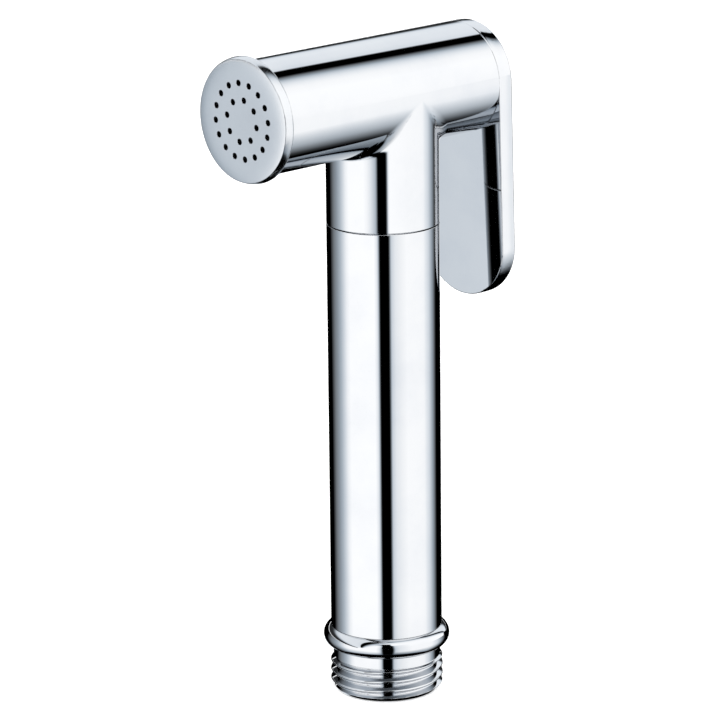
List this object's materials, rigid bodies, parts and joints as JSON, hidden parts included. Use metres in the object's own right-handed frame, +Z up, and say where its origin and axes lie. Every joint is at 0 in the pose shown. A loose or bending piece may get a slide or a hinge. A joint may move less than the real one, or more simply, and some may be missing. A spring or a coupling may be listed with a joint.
{
  "type": "handheld bidet shower",
  "caption": "Chromed handheld bidet shower: straight handle with a male hose thread, T-shaped spray head with a drilled face and a spring-return lever that opens its valve.",
  "frame": {"origin": "centre of the inlet's end face, on the axis of the handle and the hose thread", "axes": "+Z up the handle to the head, -Y the direction of the spray, +Y the lever's side, X along the lever's pivot pin"},
  "size_m": [0.0234, 0.059, 0.1248],
  "materials": {
    "polished_chrome": "mirror-polished chrome plate on brass",
    "satin_chrome": "satin chrome plate on brass, polished at the rim",
    "brass": "as turned",
    "nitrile_rubber": "matt black",
    "spring_steel": "bright stainless",
    "acetal": "natural white, moulded"
  },
  "bodies": {
    "handset": {"head_body": "polished_chrome", "spray_cap": "satin_chrome", "spray_cap_washer": "nitrile_rubber", "gland_nut": "brass", "gland_o_ring": "nitrile_rubber", "stem_o_ring_front": "nitrile_rubber", "stem_o_ring_rear": "nitrile_rubber", "handle_tube": "polished_chrome", "neck_o_ring": "nitrile_rubber", "inlet_connector": "polished_chrome", "inlet_o_ring": "nitrile_rubber", "check_valve_body": "acetal", "check_valve_o_ring": "nitrile_rubber"},
    "lever_arm": {"lever": "polished_chrome", "lever_pivot_pin": "spring_steel"},
    "valve": {"valve_stem": "brass", "seat_washer": "nitrile_rubber", "seat_washer_screw": "spring_steel", "stem_link_pin": "spring_steel", "valve_spring": "spring_steel"},
    "check_poppet": {"check_valve_poppet": "acetal", "check_valve_spring": "spring_steel"}
  },
  "joints": [
    {"name": "lever_press", "type": "hinge", "parent": "handset", "child": "lever_arm", "pos_m": [0, 0.0174, 0.1073], "axis": [-1, 0, 0], "range_deg": [0, 14], "stiffness_Nm_per_rad": 0.07, "springref_deg": -22.92},
    {"name": "valve_lift", "type": "slide", "parent": "handset", "child": "valve", "axis": [0, 1, 0], "range_m": [0, 0.0016], "deforming": ["valve_spring"]},
    {"name": "check_lift", "type": "slide", "parent": "handset", "child": "check_poppet", "axis": [0, 0, 1], "range_m": [0, 0.002], "stiffness_N_per_m": 100, "springref_m": -0.004, "deforming": ["check_valve_spring"]}
  ],
  "couplings": [
    {"joint": "valve_lift", "follows": "lever_press", "m_per_rad": 0.00594}
  ]
}
